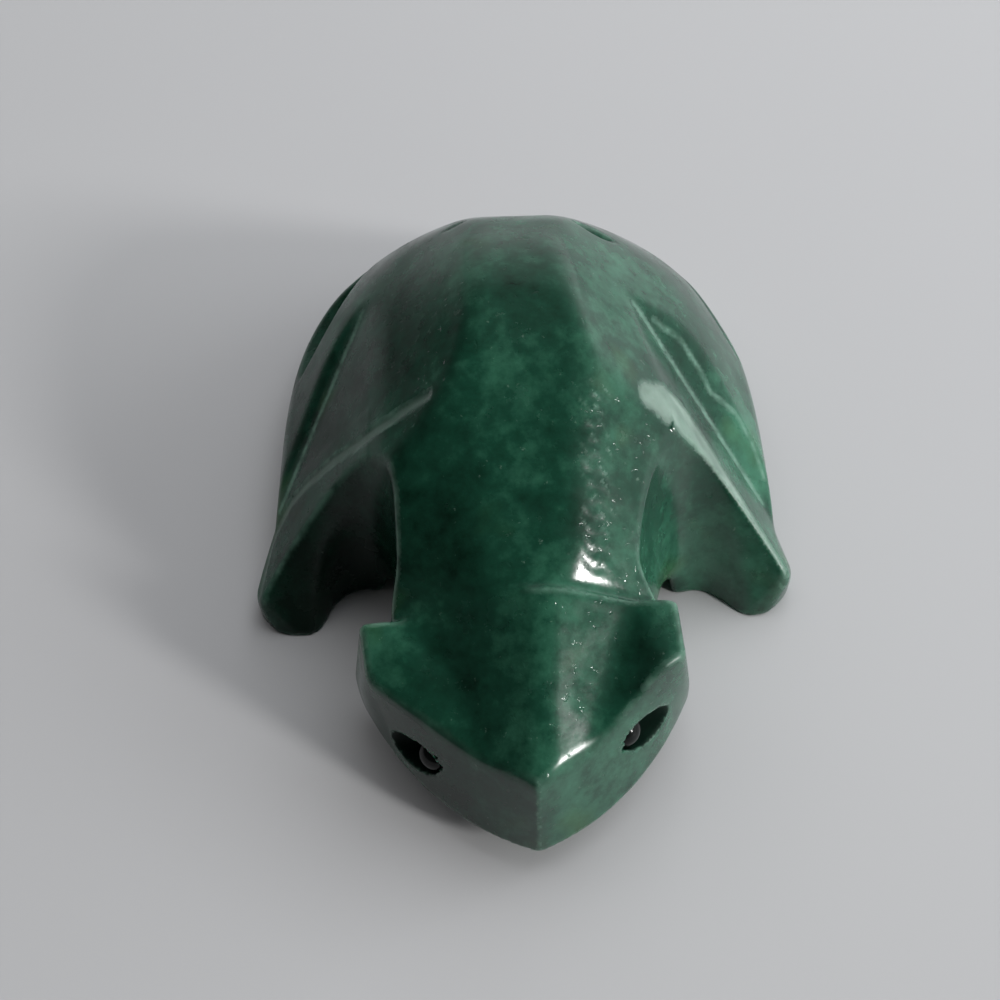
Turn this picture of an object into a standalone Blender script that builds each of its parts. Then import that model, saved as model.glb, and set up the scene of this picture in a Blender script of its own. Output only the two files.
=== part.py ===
# Stone frog figurine, ground from one pebble-sized block, with two dark eye inlays in drilled sockets.
# Metres, +Z up, head towards -Y, right side at +X, underside on z = 0.
import math

import bmesh
import bpy
from mathutils import Matrix, Vector

MM = 0.001

# Block: the plan outline of belly and haunches, a low wall with a leaning band above it
HAUNCH_HALF_WIDTH = 20.5*MM
HAUNCH_REACH = 26.2*MM          # from the widest line back to the rump, at the ground
HAUNCH_Y = 4.0*MM               # the widest line
HAUNCH_X = 0.35*MM              # the haunches sit a little to the right of the nose
HAUNCH_SQUARENESS = 2.8         # 2 is an ellipse
WALL_HEIGHT = 4.9*MM
WALL_LEAN = 0.08                # mm in for each mm up
BAND_LEAN = 0.75
BLOCK_FRONT = -17.0*MM

# Back: the flat strip that climbs from the snout, and the arch over the rump
SNOUT_TOP = (-24.5*MM, 10.0*MM)  # y and z of the strip at the snout
STRIP_CLIMB = math.radians(23.6)
BACK_PEAK_Y = 6.0*MM
BACK_HEIGHT = 22.4*MM
BACK_RADIUS = 46.0*MM
RUMP_RADIUS = 25.0*MM
STRIP_HALF_RIGHT = 5.1*MM
STRIP_HALF_LEFT = 4.3*MM
BLOCK_TOP = BACK_HEIGHT+1.6*MM  # the block before the back is ground

# Facets of the back on each side: a point beside the strip, and the way each one faces (x outward)
SHOULDER_Y, SHOULDER_Z, SHOULDER_FACING = -5.6*MM, 19.5*MM, (0.398, -0.561, 0.726)
SHOULDER_INSET_RIGHT, SHOULDER_INSET_LEFT = 0.6*MM, 0.0   # how far it stands inside the strip's edge
SIDE_RIGHT = ((4.2*MM, -1.0*MM, 20.24*MM), (0.511, -0.389, 0.766))
SIDE_LEFT = ((4.3*MM, -2.8*MM, 19.47*MM), (0.294, -0.435, 0.852))
FLANK_Y, FLANK_Z, FLANK_FACING = 2.0*MM, 21.4*MM, (0.66, 0.0, 0.75)
HIP_Y, HIP_Z_RIGHT, HIP_Z_LEFT, HIP_FACING = 14.0*MM, 20.8*MM, 21.3*MM, (0.50, 0.40, 0.77)
HIP_INSET = 0.6*MM              # how far the hip facet stands inside the strip's edge
SOFTENING = 0.7*MM              # depth of the narrow facet between flank and hip
SOFTENING_Z = 15.0*MM

# Thigh line: the valley between arm and thigh, from its apex down to the knee
APEX_RIGHT, KNEE_RIGHT = (9.0*MM, 10.6*MM, 17.3*MM), (19.5*MM, 0.2*MM, 4.6*MM)
THIGH_RIGHT, STRIP_RIGHT = (17.6*MM, 6.6*MM, 8.7*MM), (12.2*MM, -0.6*MM, 15.0*MM)
APEX_LEFT, KNEE_LEFT = (-12.2*MM, 13.6*MM, 13.7*MM), (-19.4*MM, 0.6*MM, 4.6*MM)
THIGH_LEFT, STRIP_LEFT = (-19.0*MM, 8.6*MM, 6.6*MM), (-11.9*MM, 0.7*MM, 14.2*MM)
VALLEY_REACH = 22.0*MM          # how far the cutter's two faces run out from the valley

# Arms: the flare to each foot, and the scoop ground out of the front
FOOT_RIGHT, FOOT_LEFT = 22.1*MM, 21.6*MM
FOOT_LEAN = 0.05
ARM_BACK, ARM_INSIDE = 3.0*MM, 11.0*MM
TOE_RIGHT, TOE_LEFT = (17.5*MM, -8.3*MM), (17.8*MM, -9.0*MM)
TOE_FACING = (0.35, -0.93)
ELBOW_FACING = (0.96, 0.28)
ELBOW_Y = -4.5*MM               # behind this the foot's wall runs in to the haunch
OUTER_TOE_FACING = (0.80, -0.60)
OUTER_TOE_IN = 1.1*MM           # cut from the corner of the foot
SCOOP_TOE_RIGHT, SCOOP_TOE_LEFT = -7.8*MM, -8.4*MM   # y of the scoop's deepest line at the ground
SCOOP_CROWN_Y, SCOOP_CROWN_Z = 0.9*MM, 14.0*MM       # and at the top of the arm
SCOOP_RIGHT, SCOOP_LEFT = (17.5*MM, 9.4*MM), (18.0*MM, 8.6*MM)   # x of that line, and the scoop's radius
NECK_FLARE = (1.5*MM, 3.0*MM)   # the neck widens by the first over the second, towards the head
NOTCH_RIGHT, NOTCH_LEFT = (13.9*MM, 2.2*MM), (12.7*MM, 3.4*MM)   # x of the notch beside the chest, and its depth
NOTCH_RADIUS = 3.2*MM
NOTCH_HEIGHT = 8.0*MM           # where the notch has run out

# Hollow under the chest
CHEST_RIGHT, CHEST_LEFT = (12.6*MM, 2.6*MM), (11.6*MM, 2.4*MM)   # half-width and height
CHEST_BACK = -1.0*MM
CHEST_CORNER = 2.0*MM

# Head: a wedge turned a little to the right. Each cheek goes from an arc at the jaw to a line at the brow
HEAD_TURN = math.radians(2.0)
HEAD_PIVOT_Y = -12.0*MM
JAW_CENTRE, JAW_RADIUS = (6.3*MM, -7.9*MM), 20.0*MM  # each side's arc, centred across the middle line
JAW_HEIGHT, BROW_HEIGHT = 3.0*MM, 10.7*MM
BROW_LINE, BROW_FACING = (0.3*MM, -24.8*MM), (0.583, -0.812)
CHIN_FACING, CHIN_POINT = (0.0, 0.10, -1.0), (0.0, -22.0*MM, 2.8*MM)
TEMPLE_RIGHT = ((10.6*MM, -17.2*MM, 12.3*MM), (0.97, 0.02, 0.17))
TEMPLE_LEFT = ((11.5*MM, -15.5*MM, 10.5*MM), (0.97, -0.16, 0.15))
NAPE_Y = -13.0*MM
HEAD_BOTTOM, HEAD_TOP = 2.0*MM, 18.0*MM

# Crown of the head: its crease, the slopes beside it, and a bump over each eye (x outward)
CREASE_BACK, CREASE_FRONT = (1.1*MM, -13.5*MM, 15.6*MM), (0.1*MM, -24.6*MM, 10.7*MM)
CREASE_FALL_RIGHT, CREASE_FALL_LEFT = 0.444, 0.489
BUMP_TOP_RIGHT = ((10.4*MM, -15.2*MM, 12.6*MM), (0.12, 0.02, 0.99))
BUMP_TOP_LEFT = ((10.4*MM, -13.6*MM, 11.8*MM), (0.12, -0.38, 0.91))
BUMP_INSIDE_RIGHT = ((8.5*MM, -15.6*MM, 12.5*MM), (-0.79, 0.10, 0.61))
BUMP_INSIDE_LEFT = ((8.2*MM, -16.1*MM, 11.3*MM), (-0.66, 0.05, 0.75))

# Eyes: drilled sockets and the inlays in them
SOCKET_RADIUS = 1.45*MM
SOCKET_FLOOR = 4.6*MM           # how deep the drill went, as a distance from the middle
EYE_GAP = 0.3*MM                # bedding round each inlay
EYE_DOME_X = 6.5*MM             # centre of the inlay's round front
EYE_RIGHT, EYE_LEFT = (-19.9*MM, 7.4*MM), (-20.7*MM, 5.7*MM)   # y and z

# Wheel cuts: a point on the stone, the way out of it, the way the wheel ran, its radius and depth
HIND_RIGHT = dict(point=(17.6, 17.6, 6.5), out=(0.75, 0.50, 0.30), run=(11.3, -16, -4.5), radius=17, depth=1.3)
HIND_LEFT = dict(point=(-15.9, 18.0, 7.8), out=(-0.75, 0.45, 0.45), run=(-9.5, -14, -3.5), radius=17, depth=2.1)
RUMP_RIGHT = dict(point=(6.7, 18.9, 17.0), out=(0.53, 0.35, 0.78), run=(3.8, -0.4, -2.3), radius=4, depth=0.8)
RUMP_LEFT = dict(point=(-4.9, 18.6, 18.4), out=(-0.50, 0.35, 0.79), run=(-2.5, -0.2, -1.5), radius=3, depth=0.5)
WHEEL_RIM = math.radians(50)    # half the angle of the wheel's edge
WHEEL_HALF_THICK = 3.0*MM

REACH = 60.0*MM                 # longer than anything that a cutter has to pass through
OUTLINE_STEPS = 56
CHEEK_STEPS, CHEEK_LEVELS = 12, 7
ARC_STEP = math.radians(5)
ROUND_SEGMENTS = 40


def make_object(name, mesh):
    bmesh.ops.recalc_face_normals(mesh, faces=mesh.faces)
    data = bpy.data.meshes.new(name)
    mesh.to_mesh(data)
    mesh.free()
    thing = bpy.data.objects.new(name, data)
    bpy.context.collection.objects.link(thing)
    return thing


def loft(rings):
    mesh = bmesh.new()
    rows = [[mesh.verts.new(point) for point in ring] for ring in rings]
    for low, high in zip(rows, rows[1:]):
        for i in range(len(low)):
            j = (i+1) % len(low)
            mesh.faces.new((low[i], low[j], high[j], high[i]))
    mesh.faces.new(list(reversed(rows[0])))
    mesh.faces.new(rows[-1])
    return mesh


def trim(mesh, point, facing):
    # grinds a flat facet on a convex shape and closes it again
    everything = mesh.verts[:]+mesh.edges[:]+mesh.faces[:]
    found = bmesh.ops.bisect_plane(mesh, geom=everything, dist=1e-7, plane_co=point, plane_no=facing,
                                   clear_outer=True)
    rim = [part for part in found["geom_cut"] if isinstance(part, bmesh.types.BMEdge)]
    if rim:
        bmesh.ops.edgeloop_fill(mesh, edges=rim)


def prism(outline, origin, across, up, along, back, front):
    # extrudes a flat outline, given in the directions across and up, from back to front
    origin, across, up, along = Vector(origin), Vector(across), Vector(up), Vector(along)
    flat = [origin+across*a+up*b for a, b in outline]
    return loft([[point+along*back for point in flat], [point+along*front for point in flat]])


def turned(profile, centre, axis):
    # a turned solid: profile pairs are (distance along the axis, radius)
    axis = Vector(axis).normalized()
    side = axis.orthogonal().normalized()
    other = axis.cross(side)
    rings = []
    for along, radius in profile:
        middle = Vector(centre)+axis*along
        ring = []
        for i in range(ROUND_SEGMENTS):
            angle = 2*math.pi*i/ROUND_SEGMENTS
            ring.append(middle+(side*math.cos(angle)+other*math.sin(angle))*radius)
        rings.append(ring)
    return loft(rings)


def apply_tool(body, tool, operation):
    tool.hide_render = True
    tool.display_type = "WIRE"
    step = body.modifiers.new(tool.name, "BOOLEAN")
    step.operation = operation
    step.object = tool
    step.solver = "EXACT"


def plane_through(first, second, third):
    first, second, third = Vector(first), Vector(second), Vector(third)
    facing = (second-first).cross(third-first).normalized()
    return facing if facing.z > 0 else -facing


def mirrored(vector, side):
    return Vector((vector[0]*side, vector[1], vector[2]))


def own_side(flat, side):
    return mirrored(flat[0], side), mirrored(flat[1], side).normalized()


def outline_radius(angle, width, reach):
    # radius of the plan outline at an angle from the right side
    power = HAUNCH_SQUARENESS
    return (abs(math.cos(angle)/width)**power+abs(math.sin(angle)/reach)**power)**(-1/power)


def block_ring(place):
    # one level of the block; place gives radius and height at each angle
    ring = []
    for i in range(OUTLINE_STEPS+1):
        angle = math.pi*i/OUTLINE_STEPS
        radius, z = place(outline_radius(angle, HAUNCH_HALF_WIDTH, HAUNCH_REACH))
        ring.append(Vector((HAUNCH_X+radius*math.cos(angle), HAUNCH_Y+radius*math.sin(angle), z)))
    for end in (ring[-1], ring[0]):
        ring.append(Vector((end.x, BLOCK_FRONT, end.z)))
    return ring


def back_facets(side):
    # the facets beside the strip, each as a point and the way it faces
    half = STRIP_HALF_RIGHT if side > 0 else STRIP_HALF_LEFT
    shoulder_x = half-(SHOULDER_INSET_RIGHT if side > 0 else SHOULDER_INSET_LEFT)
    hip_z = HIP_Z_RIGHT if side > 0 else HIP_Z_LEFT
    shoulder = (mirrored((shoulder_x, SHOULDER_Y, SHOULDER_Z), side), mirrored(SHOULDER_FACING, side).normalized())
    flank = (mirrored((half, FLANK_Y, FLANK_Z), side), mirrored(FLANK_FACING, side).normalized())
    hip = (mirrored((half-HIP_INSET, HIP_Y, hip_z), side), mirrored(HIP_FACING, side).normalized())
    # the softening facet runs along the edge between flank and hip
    facing = (flank[1]+hip[1]).normalized()
    rows = Matrix((flank[1], hip[1], Vector((0, 0, 1))))
    edge = rows.inverted() @ Vector((flank[1].dot(flank[0]), hip[1].dot(hip[0]), SOFTENING_Z))
    beside = own_side(SIDE_RIGHT if side > 0 else SIDE_LEFT, side)
    return [shoulder, beside, flank, hip, (edge-facing*SOFTENING, facing)]


def make_block():
    knuckle = WALL_HEIGHT
    wall_in = WALL_LEAN*knuckle
    band_in = wall_in+BAND_LEAN*(BLOCK_TOP-knuckle)
    rings = [block_ring(lambda radius: (radius, 0.0)),
             block_ring(lambda radius: (radius-wall_in, knuckle)),
             block_ring(lambda radius: (radius-band_in, BLOCK_TOP))]
    mesh = loft(rings)
    for side in (1, -1):
        for point, facing in back_facets(side):
            trim(mesh, point, facing)
        trim(mesh, *outer_toe(side))
    return make_object("frog_body", mesh)


def make_back_profile():
    # everything under the strip and the arched rump, seen from the side
    peak = Vector((BACK_PEAK_Y, BACK_HEIGHT-BACK_RADIUS))
    snout = Vector(SNOUT_TOP)
    normal = Vector((-math.sin(STRIP_CLIMB), math.cos(STRIP_CLIMB)))
    lean = math.acos((snout-peak).dot(normal)/BACK_RADIUS)
    start = STRIP_CLIMB-lean                # angle before the peak where the strip meets the arch
    climb = math.tan(STRIP_CLIMB)
    outline = [(-REACH, -REACH), (-REACH, SNOUT_TOP[1]+climb*(-REACH-SNOUT_TOP[0]))]
    outline.append((peak.x-BACK_RADIUS*math.sin(start), peak.y+BACK_RADIUS*math.cos(start)))
    turns = int(math.pi/2/ARC_STEP)
    for i in range(turns+1):
        angle = math.pi/2*i/turns
        outline.append((BACK_PEAK_Y+RUMP_RADIUS*math.sin(angle),
                        BACK_HEIGHT-RUMP_RADIUS+RUMP_RADIUS*math.cos(angle)))
    outline.append((BACK_PEAK_Y+RUMP_RADIUS, -REACH))
    return make_object("back_profile", prism(outline, (0, 0, 0), (0, 1, 0), (0, 0, 1), (1, 0, 0), -REACH, REACH))


def thigh_points(side):
    if side > 0:
        return Vector(APEX_RIGHT), Vector(KNEE_RIGHT), Vector(THIGH_RIGHT), Vector(STRIP_RIGHT)
    return Vector(APEX_LEFT), Vector(KNEE_LEFT), Vector(THIGH_LEFT), Vector(STRIP_LEFT)


def wedge(first, second, reach):
    # a three-sided prism of what lies above two flats, each given by a point and the way it faces
    facing_1, facing_2 = Vector(first[1]).normalized(), Vector(second[1]).normalized()
    along = facing_1.cross(facing_2).normalized()
    rows = Matrix((facing_1, facing_2, along))
    start = rows.inverted() @ Vector((facing_1.dot(first[0]), facing_2.dot(second[0]), along.dot(first[0])))
    up_first = facing_1.cross(along)
    up_second = facing_2.cross(along)
    up_first = up_first if up_first.dot(facing_2) > 0 else -up_first
    up_second = up_second if up_second.dot(facing_1) > 0 else -up_second
    outline = [(0, 0), (reach, 0), (0, reach)]
    return prism(outline, start, up_first, up_second, along, -REACH/2, REACH/2)


def make_valley_cutter(side):
    apex, knee, thigh, strip = thigh_points(side)
    wall, strip = plane_through(apex, knee, thigh), plane_through(apex, knee, strip)
    mesh = wedge((apex, wall), (apex, strip), VALLEY_REACH)
    return make_object("valley_cutter_"+name_of(side), mesh)


def name_of(side):
    return "right" if side > 0 else "left"


def outer_toe(side):
    # the flat across the corner between the toe and the foot's outer wall
    foot = FOOT_RIGHT if side > 0 else FOOT_LEFT
    toe = TOE_RIGHT if side > 0 else TOE_LEFT
    corner_y = toe[1]+(foot-toe[0])*TOE_FACING[0]/-TOE_FACING[1]
    facing = Vector((OUTER_TOE_FACING[0]*side, OUTER_TOE_FACING[1], 0)).normalized()
    return Vector((foot*side, corner_y, 0))-facing*OUTER_TOE_IN, facing


def make_arm(side):
    # a block that flares to the foot; the valley cutter and the scoop give it its faces
    apex, knee, _, strip = thigh_points(side)
    foot = FOOT_RIGHT if side > 0 else FOOT_LEFT
    toe = TOE_RIGHT if side > 0 else TOE_LEFT
    corners = [(ARM_INSIDE, -REACH), (REACH, -REACH), (REACH, ARM_BACK), (ARM_INSIDE, ARM_BACK)]
    rings = [[Vector((x*side, y, z)) for x, y in corners] for z in (0.0, BLOCK_TOP)]
    mesh = loft(rings)
    facing = plane_through(apex, knee, strip)
    trim(mesh, apex+facing*MM/2, facing)
    trim(mesh, Vector((foot*side, 0, 0)), Vector((side, 0, FOOT_LEAN)).normalized())
    elbow = Vector((ELBOW_FACING[0]*side, ELBOW_FACING[1], FOOT_LEAN)).normalized()
    trim(mesh, Vector((foot*side, ELBOW_Y, 0)), elbow)
    trim(mesh, Vector((toe[0]*side, toe[1], 0)), Vector((TOE_FACING[0]*side, TOE_FACING[1], 0)).normalized())
    trim(mesh, *outer_toe(side))
    return make_object("arm_"+name_of(side), mesh)


def scoop_frame(side):
    # the deepest line's foot, and the directions across, forward and up along it
    toe_y = SCOOP_TOE_RIGHT if side > 0 else SCOOP_TOE_LEFT
    along = Vector((0, SCOOP_CROWN_Y-toe_y, SCOOP_CROWN_Z)).normalized()
    across = Vector((side, 0, 0))
    return toe_y, across, across.cross(along)*side, along


def trough_outline(radius, right):
    # a half-round trough, open towards the front, up to an angle on its outer side
    turns = 18
    outline = []
    for i in range(turns+1):
        angle = right-(right+math.pi/2)*i/turns
        outline.append((radius*math.sin(angle), radius*(1-math.cos(angle))))
    return outline


def make_scoop(side):
    toe_y, across, forward, along = scoop_frame(side)
    centre_x, radius = SCOOP_RIGHT if side > 0 else SCOOP_LEFT
    outline = trough_outline(radius, math.radians(60))
    outline.append((NECK_FLARE[0]-radius, radius+NECK_FLARE[1]))
    outline.append((NECK_FLARE[0]-radius, REACH))
    outline.append((REACH, REACH))
    outline.append((REACH, outline[0][1]))
    mesh = prism(outline, (centre_x*side, toe_y, 0), across, forward, along, -REACH, REACH)
    return make_object("scoop_"+name_of(side), mesh)


def make_notch(side):
    # a narrower trough at the foot of the scoop, steeper, so that it runs out up the arm
    toe_y, across, forward, along = scoop_frame(side)
    centre_x, depth = NOTCH_RIGHT if side > 0 else NOTCH_LEFT
    foot = Vector((centre_x*side, toe_y, 0))-forward*depth
    end = Vector((centre_x*side, toe_y, 0))+along*(NOTCH_HEIGHT/along.z)
    steep = (end-foot).normalized()
    outline = trough_outline(NOTCH_RADIUS, math.pi/2)
    outline.append((-NOTCH_RADIUS, REACH))
    outline.append((NOTCH_RADIUS, REACH))
    mesh = prism(outline, foot, across, across.cross(steep)*side, steep, -REACH/2, REACH/2)
    return make_object("notch_"+name_of(side), mesh)


def make_chest_hollow():
    outline = [(-CHEST_LEFT[0], -REACH)]
    turns = 6
    for i in range(turns+1):
        angle = math.pi/2*i/turns
        outline.append((-CHEST_LEFT[0]+CHEST_CORNER*(1-math.cos(angle)),
                        CHEST_LEFT[1]-CHEST_CORNER*(1-math.sin(angle))))
    for i in range(turns+1):
        angle = math.pi/2*(1-i/turns)
        outline.append((CHEST_RIGHT[0]-CHEST_CORNER*(1-math.cos(angle)),
                        CHEST_RIGHT[1]-CHEST_CORNER*(1-math.sin(angle))))
    outline.append((CHEST_RIGHT[0], -REACH))
    mesh = prism(outline, (0, 0, 0), (1, 0, 0), (0, 0, 1), (0, 1, 0), -REACH, CHEST_BACK)
    return make_object("chest_hollow", mesh)


def head_frame():
    pivot = Matrix.Translation((0, HEAD_PIVOT_Y, 0))
    return pivot @ Matrix.Rotation(HEAD_TURN, 4, "Z") @ pivot.inverted()


def cheek_x(y, z):
    # half-width of the head at y: the jaw's arc and the brow's line, weighed by height
    share = min(max((z-JAW_HEIGHT)/(BROW_HEIGHT-JAW_HEIGHT), -0.2), 1.4)

    def outside(x):
        arc = math.hypot(x+JAW_CENTRE[0], y-JAW_CENTRE[1])-JAW_RADIUS
        line = (x-BROW_LINE[0])*BROW_FACING[0]+(y-BROW_LINE[1])*BROW_FACING[1]
        return arc+(line-arc)*share
    low, high = -REACH/4, REACH/2
    for _ in range(50):
        middle = (low+high)/2
        low, high = (low, middle) if outside(middle) > 0 else (middle, high)
    return (low+high)/2


def nose_y(z):
    low, high = -REACH, NAPE_Y
    for _ in range(50):
        middle = (low+high)/2
        low, high = (low, middle) if cheek_x(middle, z) > 0 else (middle, high)
    return (low+high)/2


def crease_slope(side):
    fall = CREASE_FALL_RIGHT if side > 0 else CREASE_FALL_LEFT
    across = Vector((side, 0, -fall))
    facing = (Vector(CREASE_FRONT)-Vector(CREASE_BACK)).cross(across).normalized()
    return Vector(CREASE_BACK), facing if facing.z > 0 else -facing


def make_head():
    rings = []
    for level in range(CHEEK_LEVELS):
        z = HEAD_BOTTOM+(HEAD_TOP-HEAD_BOTTOM)*level/(CHEEK_LEVELS-1)
        nose = nose_y(z)
        rows = [nose+(NAPE_Y-nose)*i/CHEEK_STEPS for i in range(CHEEK_STEPS+1)]
        right = [(0.0 if i == 0 else cheek_x(y, z), y) for i, y in enumerate(rows)]
        left = [(-x, y) for x, y in reversed(right[1:])]
        rings.append([Vector((x, y, z)) for x, y in right+left])
    mesh = loft(rings)
    trim(mesh, CHIN_POINT, Vector(CHIN_FACING).normalized())
    trim(mesh, *own_side(TEMPLE_RIGHT, 1))
    trim(mesh, *own_side(TEMPLE_LEFT, -1))
    mesh.transform(head_frame())
    head = make_object("head", mesh)
    for side in (1, -1):
        top = own_side(BUMP_TOP_RIGHT if side > 0 else BUMP_TOP_LEFT, side)
        inside = own_side(BUMP_INSIDE_RIGHT if side > 0 else BUMP_INSIDE_LEFT, side)
        for name, flat in (("bump_top_", top), ("brow_hollow_", inside)):
            mesh = wedge(crease_slope(side), flat, REACH)
            mesh.transform(head_frame())
            apply_tool(head, make_object(name+name_of(side), mesh), "DIFFERENCE")
    return head


def eye_centre(side, distance):
    y, z = EYE_RIGHT if side > 0 else EYE_LEFT
    return Vector((distance*side, y, z))


def make_socket(side):
    mesh = turned([(0, SOCKET_RADIUS), (REACH/4, SOCKET_RADIUS)], eye_centre(side, SOCKET_FLOOR), (side, 0, 0))
    return make_object("socket_"+name_of(side), mesh)


def make_eye(side):
    # a short plug with a round front, bedded in its socket
    radius = SOCKET_RADIUS-EYE_GAP
    floor = SOCKET_FLOOR+EYE_GAP-EYE_DOME_X
    profile = [(floor, radius)]
    turns = 8
    for i in range(turns):
        angle = math.pi/2*i/turns
        profile.append((radius*math.sin(angle), radius*math.cos(angle)))
    profile.append((radius, radius/12))
    return make_object("eye_"+name_of(side), turned(profile, eye_centre(side, EYE_DOME_X), (side, 0, 0)))


def make_wheel(name, point, out, run, radius, depth):
    # a grinding wheel with a V-shaped edge, sunk to its depth at one point of the stone
    out = Vector(out).normalized()
    run = Vector(run)
    run = (run-out*run.dot(out)).normalized()
    centre = Vector(point)*MM+out*(radius-depth)*MM
    rim = radius*MM
    waist = rim-WHEEL_HALF_THICK/math.tan(WHEEL_RIM)
    profile = [(-WHEEL_HALF_THICK, waist), (0, rim), (WHEEL_HALF_THICK, waist)]
    return make_object(name, turned(profile, centre, out.cross(run)))


def make_material(name, colour, roughness):
    material = bpy.data.materials.new(name)
    material.use_nodes = True
    shader = material.node_tree.nodes["Principled BSDF"]
    shader.inputs["Base Color"].default_value = (*colour, 1)
    shader.inputs["Roughness"].default_value = roughness
    shader.inputs["Metallic"].default_value = 0
    return material


def finish(thing, material):
    thing.data.materials.append(material)
    thing.data.shade_smooth()
    thing.data.set_sharp_from_angle(angle=math.radians(24))


def stand_on_origin(body):
    # everything hangs on one empty, moved so that the middle of the footprint is the origin
    bpy.context.view_layer.update()
    shape = body.evaluated_get(bpy.context.evaluated_depsgraph_get())
    corners = [Vector(corner) for corner in shape.bound_box]
    low = Vector((min(c.x for c in corners), min(c.y for c in corners), min(c.z for c in corners)))
    high = Vector((max(c.x for c in corners), max(c.y for c in corners), max(c.z for c in corners)))
    centre = bpy.data.objects.new("carving_frame", None)
    bpy.context.collection.objects.link(centre)
    for thing in bpy.data.objects:
        if thing is not centre:
            thing.parent = centre
    centre.location = (-(low.x+high.x)/2, -(low.y+high.y)/2, -low.z)


def build():
    for thing in list(bpy.data.objects):
        bpy.data.objects.remove(thing)
    sides = (1, -1)
    frog = make_block()
    apply_tool(frog, make_back_profile(), "INTERSECT")
    for side in sides:
        apply_tool(frog, make_arm(side), "UNION")
    for side in sides:
        apply_tool(frog, make_valley_cutter(side), "DIFFERENCE")
    for side in sides:
        apply_tool(frog, make_scoop(side), "DIFFERENCE")
        apply_tool(frog, make_notch(side), "DIFFERENCE")
    apply_tool(frog, make_chest_hollow(), "DIFFERENCE")
    apply_tool(frog, make_head(), "UNION")
    for side in sides:
        apply_tool(frog, make_socket(side), "DIFFERENCE")
    apply_tool(frog, make_wheel("hind_wheel_right", **HIND_RIGHT), "DIFFERENCE")
    apply_tool(frog, make_wheel("hind_wheel_left", **HIND_LEFT), "DIFFERENCE")
    apply_tool(frog, make_wheel("rump_wheel_right", **RUMP_RIGHT), "DIFFERENCE")
    apply_tool(frog, make_wheel("rump_wheel_left", **RUMP_LEFT), "DIFFERENCE")
    finish(frog, make_material("green_stone", (0.035, 0.115, 0.075), 0.22))
    dark = make_material("dark_inlay", (0.004, 0.005, 0.005), 0.08)
    for side in sides:
        finish(make_eye(side), dark)
    stand_on_origin(frog)


build()
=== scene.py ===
import math
import time

import bpy
import numpy as np
from mathutils import Matrix, Vector


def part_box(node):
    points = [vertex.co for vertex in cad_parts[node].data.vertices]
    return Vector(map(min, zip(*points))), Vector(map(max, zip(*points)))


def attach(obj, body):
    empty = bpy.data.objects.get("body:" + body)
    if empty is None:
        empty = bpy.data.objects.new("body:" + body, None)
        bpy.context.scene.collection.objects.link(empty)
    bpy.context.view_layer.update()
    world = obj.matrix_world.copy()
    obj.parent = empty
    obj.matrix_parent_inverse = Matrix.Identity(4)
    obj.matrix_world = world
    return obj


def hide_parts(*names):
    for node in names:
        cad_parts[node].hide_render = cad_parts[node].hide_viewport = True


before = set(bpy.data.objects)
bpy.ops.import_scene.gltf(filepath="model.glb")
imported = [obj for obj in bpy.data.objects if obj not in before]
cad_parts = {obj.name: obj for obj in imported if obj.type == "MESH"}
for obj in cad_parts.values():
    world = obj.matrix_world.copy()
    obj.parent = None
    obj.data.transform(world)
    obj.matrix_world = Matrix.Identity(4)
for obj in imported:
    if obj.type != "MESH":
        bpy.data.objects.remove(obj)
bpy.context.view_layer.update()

# A small frog ground from one block of dark green stone, with two black eye inlays.
# The stone is worked out as one distance field, cut by the same flats, scoops and wheels that the
# grinder used, then turned into a fine mesh. Sizes are in mm in the carving's own frame: the head
# points to -y, +x is the photo's right, and the ground is z = 0.

mm = 0.001
startTime = time.time()


def report(stage):
    print("%5.1f s  %s" % (time.time()-startTime, stage))


# The way the two sides of a cut meet: the larger or smaller of two distances, with a soft corner
def meet(a, b, soft):
    gap = np.maximum(soft-np.abs(a-b), 0)
    return np.maximum(a, b)+gap*gap/(4*soft)


def join(a, b, soft):
    gap = np.maximum(soft-np.abs(a-b), 0)
    return np.minimum(a, b)-gap*gap/(4*soft)


def grind(stone, tool, soft):
    return meet(stone, -tool, soft)


def unit(vector):
    vector = np.array(vector, dtype=float)
    return vector/np.linalg.norm(vector)


def flat(p, point, facing):
    # distance above a flat facet
    n = unit(facing)
    return (p[0]-point[0])*n[0]+(p[1]-point[1])*n[1]+(p[2]-point[2])*n[2]


def offAxis(p, point, axis):
    # distance from a line, and distance along it
    a = unit(axis)
    d = [p[i]-point[i] for i in range(3)]
    along = d[0]*a[0]+d[1]*a[1]+d[2]*a[2]
    return np.sqrt((d[0]-along*a[0])**2+(d[1]-along*a[1])**2+(d[2]-along*a[2])**2), along


def facingThrough(a, b, c):
    n = np.cross(np.array(b)-np.array(a), np.array(c)-np.array(a))
    return n if n[2] > 0 else -n


def mirrored(vector, side):
    return (vector[0]*side, vector[1], vector[2])


# The block: seen from above the haunches are a squared-off curve, with a steep wall and a leaning band
block = dict(
    halfWidth=20.5, reach=26.2, widestY=4.0, shiftX=0.35, squareness=2.8,
    wallHeight=4.9, wallLean=0.08, bandLean=0.75, front=-17.0,
    wallSoft=0.8, bandSoft=1.2, frontSoft=1.0, baseSoft=0.25,
)

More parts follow.
